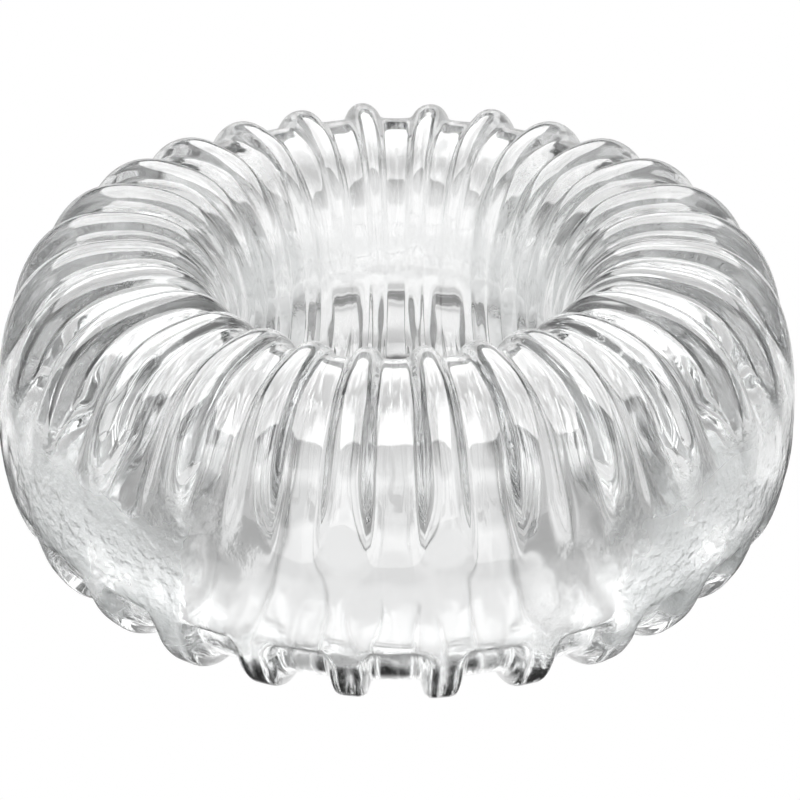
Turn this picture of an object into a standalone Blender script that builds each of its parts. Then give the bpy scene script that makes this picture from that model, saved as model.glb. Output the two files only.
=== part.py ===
"""A ribbed glass insulator ring: one thick moulded ring of clear glass.

Metres, +Z up. The hole's axis is Z, and z = 0 is the plane that the ribs' feet stand on.
An angle around the glass tube is 0 on the outer wall, a quarter turn on the crown,
half a turn on the wall of the hole and three quarters of a turn under the base.
"""

import math

import bpy

# Driving dimensions.
RING_RADIUS = 0.0270  # hole's axis to the middle of the glass tube
TUBE_HALF_WIDTH = 0.01112  # middle of the tube to the outer wall, and to the wall of the hole
TUBE_HALF_HEIGHT = 0.01526  # middle of the tube to the top of a rib
WALL_LEAN = 0.07  # how far the section leans outwards for each metre down
OUTER_SQUARENESS = 2.5  # superellipse power on the outer wall: 2 is an ellipse
HOLE_SQUARENESS = 2.4  # the same on the wall of the hole

# The ribs, which run round the tube like the lobes of a melon.
RIB_COUNT = 28
GROOVE_DEPTH_SHARE = 0.055  # depth of a groove as a share of its distance from the hole's axis
CROWN_HALF_WIDTH = 0.25  # half the width of a rib over the crown, as a share of the pitch
BASE_HALF_WIDTH = 0.205  # the same under the base
RIB_FILLET = 0.09  # how softly a rib's flank runs into the groove
CROWN_BLUNTNESS = 2.3  # power of a rib's own section over the crown: 2 is a half circle
BASE_BLUNTNESS = 6.0  # the same under the base, where the ribs are flatter and steeper
FOOT_CUT = 0.00025  # height that the flat of each foot takes off its rib

# Where the grooves run out, as angles around the tube.
OUTER_BAND = (math.radians(-34), math.radians(-21), math.radians(4), math.radians(40))
HOLE_BAND = (math.radians(125), math.radians(172), math.radians(188), math.radians(262))
HOLE_GROOVE_SHARE = 0.14  # what is left of a groove's depth on the wall of the hole

STEPS_PER_RIB = 6
STEPS_AROUND_TUBE = 24
GLASS_COLOUR = (0.93, 0.95, 0.95, 1.0)


def clear_scene():
    for item in list(bpy.data.objects):
        bpy.data.objects.remove(item, do_unlink=True)


def smooth_step(low, high, value):
    share = min(max((value - low) / (high - low), 0.0), 1.0)
    return share * share * (3.0 - 2.0 * share)


def inside_band(band, angle):
    """1 well inside a band of angles, 0 outside it, with a smooth run between."""
    rise = smooth_step(band[0], band[1], angle)
    fall = smooth_step(band[2], band[3], angle)
    return rise * (1.0 - fall)


def groove_strength(tube_angle):
    """Share of the full groove depth at an angle around the tube."""
    outer = inside_band(OUTER_BAND, math.remainder(tube_angle, math.tau))
    hole = inside_band(HOLE_BAND, tube_angle % math.tau)
    return (1.0 - outer) * (1.0 - (1.0 - HOLE_GROOVE_SHARE) * hole)


def rib_profile(phase, tube_angle):
    """Height of a rib, from about 0 in the groove to 1 on the crest at phase 0."""
    below = smooth_step(0.2, -0.8, math.sin(tube_angle))
    half_width = CROWN_HALF_WIDTH + (BASE_HALF_WIDTH - CROWN_HALF_WIDTH) * below
    bluntness = CROWN_BLUNTNESS + (BASE_BLUNTNESS - CROWN_BLUNTNESS) * below
    reach = abs(math.sin(math.pi * phase)) / math.sin(math.pi * half_width)
    dome = 1.0 - reach**bluntness
    softened = 0.5 * (dome + math.hypot(dome, RIB_FILLET))
    crest = 0.5 * (1.0 + math.hypot(1.0, RIB_FILLET))
    return math.sqrt(softened / crest)


def crest_section(tube_angle):
    """Radius and height of a rib's crest, measured from the middle of the tube."""
    across = math.cos(tube_angle)
    up = math.sin(tube_angle)
    outward = 0.5 + 0.5 * across
    power = OUTER_SQUARENESS * outward + HOLE_SQUARENESS * (1.0 - outward)
    reach = (abs(across) ** power + abs(up) ** power) ** (-1.0 / power)
    return TUBE_HALF_WIDTH * reach * across, TUBE_HALF_HEIGHT * reach * up


def ring_point(ring_angle, tube_angle):
    """A point on the glass. A ring angle of 0 faces -Y, in the middle of a groove."""
    across, up = crest_section(tube_angle)
    lean = -WALL_LEAN * up
    phase = (ring_angle * RIB_COUNT / math.tau) % 1.0 - 0.5
    groove = GROOVE_DEPTH_SHARE * (RING_RADIUS + across)
    depth = groove * groove_strength(tube_angle) * (1.0 - rib_profile(phase, tube_angle))
    keep = 1.0 - depth / math.hypot(across, up)
    radius = RING_RADIUS + across * keep + lean
    height = TUBE_HALF_HEIGHT - FOOT_CUT + up * keep
    return (
        radius * math.sin(ring_angle),
        -radius * math.cos(ring_angle),
        max(height, 0.0),
    )


def glass_material():
    material = bpy.data.materials.new("clear_glass")
    material.use_nodes = True
    shader = material.node_tree.nodes["Principled BSDF"]
    shader.inputs["Base Color"].default_value = GLASS_COLOUR
    shader.inputs["Roughness"].default_value = 0.03
    shader.inputs["Metallic"].default_value = 0.0
    shader.inputs["IOR"].default_value = 1.5
    shader.inputs["Transmission Weight"].default_value = 1.0
    return material


def make_glass_ring(collection):
    """A torus whose vertices are moved onto the ribbed section."""
    bpy.ops.mesh.primitive_torus_add(
        major_segments=RIB_COUNT * STEPS_PER_RIB,
        minor_segments=STEPS_AROUND_TUBE,
        major_radius=RING_RADIUS,
        minor_radius=TUBE_HALF_WIDTH,
    )
    ring = bpy.context.object
    ring.name = "glass_ring"
    # Half a step each way puts a row of vertices on both sides of every crest and foot.
    ring_shift = math.pi / (RIB_COUNT * STEPS_PER_RIB)
    tube_shift = math.pi / STEPS_AROUND_TUBE
    for vertex in ring.data.vertices:
        x, y, z = vertex.co
        ring_angle = math.atan2(x, -y) + ring_shift
        tube_angle = math.atan2(z, math.hypot(x, y) - RING_RADIUS) + tube_shift
        vertex.co = ring_point(ring_angle, tube_angle)
    ring.data.materials.append(glass_material())
    ring.data.shade_smooth()
    for owner in list(ring.users_collection):
        owner.objects.unlink(ring)
    collection.objects.link(ring)
    return ring


def main():
    clear_scene()
    collection = bpy.data.collections.new("glass_insulator")
    bpy.context.scene.collection.children.link(collection)
    make_glass_ring(collection)


main()
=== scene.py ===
"""The looks of the ribbed glass insulator ring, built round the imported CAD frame.

Metres, +Z up, z = 0 is the plane that the ribs' feet stand on. An angle around the glass tube
is 0 on the outer wall, a quarter turn on the crown, half a turn on the wall of the hole and
three quarters of a turn under the base. An angle round the ring is 0 towards -Y.
"""

import math

import bpy
import numpy as np
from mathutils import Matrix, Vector

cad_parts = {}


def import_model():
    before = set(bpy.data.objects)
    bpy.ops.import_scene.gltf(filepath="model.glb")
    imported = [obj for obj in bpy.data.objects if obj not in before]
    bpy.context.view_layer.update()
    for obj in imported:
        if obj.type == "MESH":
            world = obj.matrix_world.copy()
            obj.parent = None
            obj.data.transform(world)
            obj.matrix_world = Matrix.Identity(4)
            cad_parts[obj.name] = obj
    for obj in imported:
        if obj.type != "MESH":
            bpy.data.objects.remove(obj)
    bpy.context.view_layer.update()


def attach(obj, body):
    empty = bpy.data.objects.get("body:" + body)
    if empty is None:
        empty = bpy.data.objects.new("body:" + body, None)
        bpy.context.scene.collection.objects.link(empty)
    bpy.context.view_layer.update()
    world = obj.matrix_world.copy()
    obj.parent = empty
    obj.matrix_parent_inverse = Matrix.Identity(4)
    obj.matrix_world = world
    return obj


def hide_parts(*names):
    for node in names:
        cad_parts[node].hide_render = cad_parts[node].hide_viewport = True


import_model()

# The ring's section and ribs, as in the CAD.
RING_RADIUS = 0.0270
TUBE_HALF_WIDTH = 0.01112
TUBE_HALF_HEIGHT = 0.01526
WALL_LEAN = 0.07
OUTER_SQUARENESS = 2.5
HOLE_SQUARENESS = 2.4
RIB_COUNT = 28
GROOVE_DEPTH_SHARE = 0.055
CROWN_HALF_WIDTH = 0.25
BASE_HALF_WIDTH = 0.205
RIB_FILLET = 0.09
FOOT_CUT = 0.00025
OUTER_BAND = np.radians((-34.0, -21.0, 4.0, 40.0))
HOLE_BAND = np.radians((125.0, 172.0, 188.0, 262.0))
HOLE_GROOVE_SHARE = 0.14
CROWN_BLUNTNESS = 2.3
BASE_BLUNTNESS = 6.0
BASE_START = 0.2
BASE_FULL = -0.8

# Each rib differs a little from the next, as pressed glass does: seeded, the same each run.
CHANCE = np.random.default_rng(28)
RIB_SHIFT = CHANCE.uniform(-0.035, 0.035, RIB_COUNT)
RIB_WIDTH = CHANCE.uniform(0.93, 1.07, RIB_COUNT)
RIB_RISE = CHANCE.uniform(0.90, 1.0, RIB_COUNT)
WAVE_COUNT = 30
WAVES = (
    CHANCE.integers(12, 80, WAVE_COUNT) * CHANCE.choice((-1, 1), WAVE_COUNT),
    CHANCE.integers(1, 14, WAVE_COUNT),
    CHANCE.uniform(0.0, math.tau, WAVE_COUNT),
    CHANCE.uniform(2e-6, 10e-6, WAVE_COUNT),
)
WAVES_ON_RIBS = 0.25

WHITE = (1.0, 1.0, 1.0, 1.0)

# The glass: fire-polished, with a strong coat so that the soft box shows white on the crown.
GLASS_IOR = 1.5
COAT_IOR = 2.4
COAT_ROUGHNESS = 0.02
MEAN_NOISE = 0.5
GRAIN_ROUGHNESS = 0.03
BAND_ROUGHNESS = 0.12
FROST_ROUGHNESS = 0.27
# Grey painted into the frosted patches' base colour: a painted shade that darkens them.
FROST_PAINTED_SHADE = (0.64, 0.66, 0.66, 1.0)
DEPTH_COLOUR = (0.86, 0.88, 0.88, 1.0)
DEPTH_DENSITY = 10.0
FLOW_HEIGHT = 0.0002
PIT_HEIGHT = 0.0003

# Noise, as (features in a metre, octaves).
PATCH_NOISE = (95.0, 4.0)
GRAIN_NOISE = (700.0, 4.0)
FLOW_NOISE = (160.0, 1.5)
PIT_NOISE = (1100.0, 3.0)

# The plain outer band, as (nothing of it here, all of it here), and the same for its frost and
# the shade painted on it.
BAND_TOP = (0.0225, 0.0165)
BAND_FOOT = (0.0035, 0.0065)
BAND_REACH = (0.0335, 0.0355)
FROST_SIDES = (0.010, 0.017)
FROST_PATCHES = (0.37, 0.53)

FLOOR_SIZE = 6.0
DECIMETRES_PER_METRE = 10.0
# The white floor's glow, as (distance from the axis in decimetres, brightness): the ring's
# shadow painted into it, darkest at the feet.
FLOOR_PAINTED_SHADOW = [
    (0.0, 0.9),
    (0.12, 0.88),
    (0.145, 0.4),
    (0.2, 0.4),
    (0.24, 0.8),
    (0.325, 0.85),
    (0.34, 0.05),
    (0.455, 0.05),
    (0.51, 1.0),
    (0.70, 1.0),
    (0.85, 0.6),
    (1.0, 0.6),
]
# The studio's walls, as (sine of the elevation, brightness).
FRONT_WALL = [(0.0, 1.1), (0.42, 1.1), (0.50, 0.25), (1.0, 0.25)]
SIDE_WALL = [
    (0.0, 0.2),
    (0.28, 0.2),
    (0.35, 0.4),
    (0.55, 0.6),
    (0.68, 0.5),
    (0.75, 0.2),
    (1.0, 0.1),
]
BACK_WALL = [(0.0, 0.9), (0.15, 0.9), (0.22, 0.0), (0.48, 0.0), (0.55, 0.4), (1.0, 0.5)]
WALL_LEVEL = 2.0
WALL_CORNER = (0.45, 0.75)
# The soft box's edges, as (no light, full light) on a ceiling one unit up.
BOX_SIDE = (1.2, 1.0)
BOX_FRONT = (-0.64, -0.54)
BOX_BACK = (2.6, 2.2)
BOX_LIGHT = 2.5
LEAST = 0.001  # keeps the divisions away from zero

# The camera: distance from the middle of the ring, and its own small offset and aim.
LENS = 107.7
CAMERA_DISTANCE = 8.572 * RING_RADIUS
CAMERA_RISE = math.radians(29.915)
CAMERA_SIDE = 0.00037
AIM_DROP = 0.00353
CLIP_START = 0.01

STEPS_PER_RIB = 24
STEPS_AROUND_TUBE = 140
TUBE_CENTRE = Vector((0.0, 0.0, TUBE_HALF_HEIGHT - FOOT_CUT))


def smooth_step(low, high, value):
    share = np.clip((value - low) / (high - low), 0.0, 1.0)
    return share * share * (3.0 - 2.0 * share)


def inside_band(band, angle):
    """1 well inside a band of angles, 0 outside it, with a smooth run between."""
    rise = smooth_step(band[0], band[1], angle)
    fall = smooth_step(band[2], band[3], angle)
    return rise * (1.0 - fall)


def groove_strength(tube_angle):
    """Share of the full groove depth at an angle around the tube."""
    signed = (tube_angle + math.pi) % math.tau - math.pi
    outer = inside_band(OUTER_BAND, signed)
    hole = inside_band(HOLE_BAND, tube_angle % math.tau)
    return (1.0 - outer) * (1.0 - (1.0 - HOLE_GROOVE_SHARE) * hole)


def rib_profile(phase, width, tube_angle):
    """Height of a rib, from about 0 in the groove to 1 on the crest at phase 0."""
    below = smooth_step(BASE_START, BASE_FULL, np.sin(tube_angle))
    half_width = CROWN_HALF_WIDTH + (BASE_HALF_WIDTH - CROWN_HALF_WIDTH) * below
    bluntness = CROWN_BLUNTNESS + (BASE_BLUNTNESS - CROWN_BLUNTNESS) * below
    reach = np.abs(np.sin(math.pi * phase)) / np.sin(math.pi * width * half_width)
    dome = 1.0 - reach**bluntness
    softened = 0.5 * (dome + np.hypot(dome, RIB_FILLET))
    crest = 0.5 * (1.0 + math.hypot(1.0, RIB_FILLET))
    return np.sqrt(softened / crest)


def crest_section(tube_angle):
    """Radius and height of a rib's crest, measured from the middle of the tube."""
    across = np.cos(tube_angle)
    up = np.sin(tube_angle)
    outward = 0.5 + 0.5 * across
    power = OUTER_SQUARENESS * outward + HOLE_SQUARENESS * (1.0 - outward)
    reach = (np.abs(across) ** power + np.abs(up) ** power) ** (-1.0 / power)
    return TUBE_HALF_WIDTH * reach * across, TUBE_HALF_HEIGHT * reach * up


def ripple(ring_angle, tube_angle):
    """The slow waves that pressed glass keeps, strongest on the plain outer band."""
    height = np.zeros_like(ring_angle)
    for around, along, start, size in zip(*WAVES):
        height += size * np.sin(around * ring_angle + along * tube_angle + start)
    signed = (tube_angle + math.pi) % math.tau - math.pi
    band = inside_band(OUTER_BAND, signed)
    return height * (WAVES_ON_RIBS + (1.0 - WAVES_ON_RIBS) * band)


def ring_points(ring_angle, tube_angle):
    across, up = crest_section(tube_angle)
    turns = ring_angle * RIB_COUNT / math.tau
    rib = np.floor(turns).astype(int) % RIB_COUNT
    phase = turns % 1.0 - 0.5
    phase = phase - RIB_SHIFT[rib] * np.cos(math.pi * phase) ** 2
    rise = RIB_RISE[rib] * rib_profile(phase, RIB_WIDTH[rib], tube_angle)
    groove = GROOVE_DEPTH_SHARE * (RING_RADIUS + across)
    depth = groove * groove_strength(tube_angle) * (1.0 - rise)
    depth = depth - ripple(ring_angle, tube_angle)
    keep = 1.0 - depth / np.hypot(across, up)
    radius = RING_RADIUS + across * keep - WALL_LEAN * up
    height = np.maximum(TUBE_CENTRE.z + up * keep, 0.0)
    sideways = radius * np.sin(ring_angle)
    forwards = -radius * np.cos(ring_angle)
    return np.stack([sideways, forwards, height], axis=-1)


def glass_ring():
    """A closed grid of quads on the ribbed section."""
    rounds = RIB_COUNT * STEPS_PER_RIB
    ring_turn = np.arange(rounds) * (math.tau / rounds)
    tube_turn = np.arange(STEPS_AROUND_TUBE) * (math.tau / STEPS_AROUND_TUBE)
    ring_angle, tube_angle = np.meshgrid(ring_turn, tube_turn, indexing="ij")
    points = ring_points(ring_angle, tube_angle)
    corner = np.arange(ring_angle.size).reshape(ring_angle.shape)
    ahead = np.roll(corner, -1, axis=0)
    above = np.roll(corner, -1, axis=1)
    ahead_above = np.roll(ahead, -1, axis=1)
    quads = np.stack([corner, ahead, ahead_above, above], axis=-1)
    mesh = bpy.data.meshes.new("ribbed_glass")
    mesh.from_pydata(points.reshape(-1, 3).tolist(), [], quads.reshape(-1, 4).tolist())
    mesh.shade_smooth()
    ring = bpy.data.objects.new("ribbed_glass", mesh)
    bpy.context.scene.collection.objects.link(ring)
    return ring


def edge_node(tree, value, ends):
    """0 at the first end, 1 at the second, smooth between them."""
    edge = tree.nodes.new("ShaderNodeMapRange")
    edge.interpolation_type = "SMOOTHSTEP"
    edge.inputs["From Min"].default_value = ends[0]
    edge.inputs["From Max"].default_value = ends[1]
    tree.links.new(value, edge.inputs["Value"])
    return edge.outputs[0]


def math_node(tree, operation, first, second=None):
    """A number is set on the socket, and a socket is linked to it."""
    step = tree.nodes.new("ShaderNodeMath")
    step.operation = operation
    for socket, value in zip(step.inputs, (first, second)):
        if isinstance(value, float):
            socket.default_value = value
        elif value is not None:
            tree.links.new(value, socket)
    return step.outputs[0]


def level_node(tree, x, y):
    """The distance from the Z axis."""
    square = math_node(tree, "MULTIPLY", x, x)
    other_square = math_node(tree, "MULTIPLY", y, y)
    return math_node(tree, "SQRT", math_node(tree, "ADD", square, other_square))


def noise_node(tree, place, kind):
    noise = tree.nodes.new("ShaderNodeTexNoise")
    noise.inputs["Scale"].default_value = kind[0]
    noise.inputs["Detail"].default_value = kind[1]
    tree.links.new(place, noise.inputs["Vector"])
    return noise.outputs["Fac"]


def bump_node(tree, height, distance, under=None):
    bump = tree.nodes.new("ShaderNodeBump")
    bump.inputs["Distance"].default_value = distance
    tree.links.new(height, bump.inputs["Height"])
    if under is not None:
        tree.links.new(under, bump.inputs["Normal"])
    return bump.outputs["Normal"]


def mix_node(tree, share, first, second):
    """The first colour where the share is 0, the second where it is 1."""
    mix = tree.nodes.new("ShaderNodeMix")
    mix.data_type = "RGBA"
    tree.links.new(share, mix.inputs["Factor"])
    # Sockets 6 and 7 are the two colours. Those before them are for other kinds of data.
    for socket, colour in zip((mix.inputs[6], mix.inputs[7]), (first, second)):
        if isinstance(colour, tuple):
            socket.default_value = colour
        else:
            tree.links.new(colour, socket)
    return mix.outputs[2]


def band_nodes(tree, place):
    """How much of the plain outer band, and of its frost with its painted shade, there is at a
    place on the glass.
    """
    split = tree.nodes.new("ShaderNodeSeparateXYZ")
    tree.links.new(place, split.inputs[0])
    x, y, z = split.outputs
    top = edge_node(tree, z, BAND_TOP)
    heights = math_node(tree, "MULTIPLY", top, edge_node(tree, z, BAND_FOOT))
    outer = edge_node(tree, level_node(tree, x, y), BAND_REACH)
    band = math_node(tree, "MULTIPLY", outer, heights)
    patches = edge_node(tree, noise_node(tree, place, PATCH_NOISE), FROST_PATCHES)
    sides = edge_node(tree, math_node(tree, "ABSOLUTE", x), FROST_SIDES)
    frost_and_painted_shade = math_node(tree, "MULTIPLY", band, math_node(tree, "MULTIPLY", patches, sides))
    return band, frost_and_painted_shade


def glass_material():
    """Fire-polished glass over a body that scatters a little, most of all on the outer band,
    and with shade painted grey on its frosted side patches.
    """
    material = bpy.data.materials.new("clear_pressed_glass")
    material.use_nodes = True
    tree = material.node_tree
    shader = tree.nodes["Principled BSDF"]
    shader.inputs["IOR"].default_value = GLASS_IOR
    shader.inputs["Transmission Weight"].default_value = 1.0
    shader.inputs["Coat Weight"].default_value = 1.0
    shader.inputs["Coat Roughness"].default_value = COAT_ROUGHNESS
    shader.inputs["Coat IOR"].default_value = COAT_IOR
    place = tree.nodes.new("ShaderNodeTexCoord").outputs["Object"]
    band, frost_and_painted_shade = band_nodes(tree, place)
    grain = noise_node(tree, place, GRAIN_NOISE)
    rough = math_node(tree, "MULTIPLY", grain, GRAIN_ROUGHNESS / MEAN_NOISE)
    for share, roughness in ((band, BAND_ROUGHNESS), (frost_and_painted_shade, FROST_ROUGHNESS)):
        rough = math_node(tree, "ADD", rough, math_node(tree, "MULTIPLY", share, roughness))
    tree.links.new(rough, shader.inputs["Roughness"])
    flow = bump_node(tree, noise_node(tree, place, FLOW_NOISE), FLOW_HEIGHT)
    pits = math_node(tree, "MULTIPLY", frost_and_painted_shade, noise_node(tree, place, PIT_NOISE))
    pitted = bump_node(tree, pits, PIT_HEIGHT, flow)
    tree.links.new(pitted, shader.inputs["Normal"])
    tree.links.new(pitted, shader.inputs["Coat Normal"])
    # Painted shade: the frosted side patches are greyed in the base colour.
    painted_shade_colour = mix_node(tree, frost_and_painted_shade, WHITE, FROST_PAINTED_SHADE)
    tree.links.new(painted_shade_colour, shader.inputs["Base Color"])
    depth = tree.nodes.new("ShaderNodeVolumeAbsorption")
    depth.inputs["Color"].default_value = DEPTH_COLOUR
    depth.inputs["Density"].default_value = DEPTH_DENSITY
    tree.links.new(depth.outputs[0], tree.nodes["Material Output"].inputs["Volume"])
    return material


def ramp_node(tree, value, stops):
    """Grey along a value, from (value, brightness) stops."""
    ramp = tree.nodes.new("ShaderNodeValToRGB")
    elements = ramp.color_ramp.elements
    while len(elements) > 1:
        elements.remove(elements[-1])
    elements[0].position = stops[0][0]
    elements[0].color = (stops[0][1],) * 3 + (1.0,)
    for position, brightness in stops[1:]:
        stop = elements.new(position)
        stop.color = (brightness,) * 3 + (1.0,)
    tree.links.new(value, ramp.inputs["Fac"])
    return ramp.outputs["Color"]


def white_for_camera(tree, shade, kind):
    """The camera's own rays see plain white, and the glass sees the shaded studio."""
    path = tree.nodes.new("ShaderNodeLightPath")
    plain = tree.nodes.new(kind)
    plain.inputs["Color"].default_value = WHITE
    blend = tree.nodes.new("ShaderNodeMixShader")
    tree.links.new(path.outputs["Is Camera Ray"], blend.inputs[0])
    tree.links.new(shade.outputs[0], blend.inputs[1])
    tree.links.new(plain.outputs[0], blend.inputs[2])
    return blend


def floor():
    """A white sheet that glows, darker where the ring's shadow is painted into its glow."""
    bpy.ops.mesh.primitive_plane_add(size=FLOOR_SIZE)
    sheet = bpy.context.object
    sheet.name = "floor"
    material = bpy.data.materials.new("floor_white_painted_shadow")
    material.use_nodes = True
    tree = material.node_tree
    tree.nodes.clear()
    out = tree.nodes.new("ShaderNodeOutputMaterial")
    reach = tree.nodes.new("ShaderNodeVectorMath")
    reach.operation = "LENGTH"
    place = tree.nodes.new("ShaderNodeTexCoord").outputs["Object"]
    tree.links.new(place, reach.inputs[0])
    distance = math_node(tree, "MULTIPLY", reach.outputs["Value"], DECIMETRES_PER_METRE)
    glow = tree.nodes.new("ShaderNodeEmission")
    # The glow holds the ring's painted shadow. The camera's own rays see plain white instead.
    tree.links.new(ramp_node(tree, distance, FLOOR_PAINTED_SHADOW), glow.inputs["Color"])
    blend = white_for_camera(tree, glow, "ShaderNodeEmission")
    tree.links.new(blend.outputs[0], out.inputs["Surface"])
    sheet.data.materials.append(material)


def wall_node(tree, z, stops):
    return ramp_node(tree, z, [(height, value / WALL_LEVEL) for height, value in stops])


def walls_node(tree, x, y, z):
    """The front, side and back walls, as a colour of the direction."""
    level = math_node(tree, "MAXIMUM", level_node(tree, x, y), LEAST)
    facing_back = math_node(tree, "DIVIDE", y, level)
    facing_front = math_node(tree, "MULTIPLY", facing_back, -1.0)
    front = edge_node(tree, facing_front, WALL_CORNER)
    back = edge_node(tree, facing_back, WALL_CORNER)
    side_wall = wall_node(tree, z, SIDE_WALL)
    walls = mix_node(tree, front, side_wall, wall_node(tree, z, FRONT_WALL))
    return mix_node(tree, back, walls, wall_node(tree, z, BACK_WALL))


def box_node(tree, x, y, z):
    """1 inside the soft box, which is a rectangle on a level ceiling."""
    height = math_node(tree, "MAXIMUM", z, LEAST)
    across = math_node(tree, "ABSOLUTE", math_node(tree, "DIVIDE", x, height))
    along = math_node(tree, "DIVIDE", y, height)
    near = edge_node(tree, along, BOX_FRONT)
    far = edge_node(tree, along, BOX_BACK)
    inside = math_node(tree, "MULTIPLY", near, far)
    return math_node(tree, "MULTIPLY", edge_node(tree, across, BOX_SIDE), inside)


def world():
    """A white studio: pale walls, a dark gap above the far horizon, a soft box overhead."""
    light = bpy.data.worlds.new("studio")
    bpy.context.scene.world = light
    light.use_nodes = True
    tree = light.node_tree
    split = tree.nodes.new("ShaderNodeSeparateXYZ")
    direction = tree.nodes.new("ShaderNodeTexCoord").outputs["Generated"]
    tree.links.new(direction, split.inputs[0])
    walls = tree.nodes["Background"]
    walls.inputs["Strength"].default_value = WALL_LEVEL
    tree.links.new(walls_node(tree, *split.outputs), walls.inputs["Color"])
    box = tree.nodes.new("ShaderNodeBackground")
    strength = math_node(tree, "MULTIPLY", box_node(tree, *split.outputs), BOX_LIGHT)
    tree.links.new(strength, box.inputs["Strength"])
    both = tree.nodes.new("ShaderNodeAddShader")
    tree.links.new(walls.outputs[0], both.inputs[0])
    tree.links.new(box.outputs[0], both.inputs[1])
    blend = white_for_camera(tree, both, "ShaderNodeBackground")
    tree.links.new(blend.outputs[0], tree.nodes["World Output"].inputs["Surface"])


def camera():
    data = bpy.data.cameras.new("camera")
    view = bpy.data.objects.new("camera", data)
    bpy.context.scene.collection.objects.link(view)
    data.lens = LENS
    data.clip_start = CLIP_START
    back = Vector((0.0, -math.cos(CAMERA_RISE), math.sin(CAMERA_RISE)))
    side = Vector((CAMERA_SIDE, 0.0, 0.0))
    view.location = TUBE_CENTRE + back * CAMERA_DISTANCE + side
    aim = Vector((CAMERA_SIDE, 0.0, TUBE_CENTRE.z - AIM_DROP))
    view.rotation_mode = "QUATERNION"
    view.rotation_quaternion = (aim - view.location).to_track_quat("-Z", "Y")
    bpy.context.scene.camera = view


camera()
floor()
world()
ring = glass_ring()
ring.data.materials.append(glass_material())
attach(ring, "root")
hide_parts("glass_ring")
bpy.context.scene.view_settings.view_transform = "Standard"
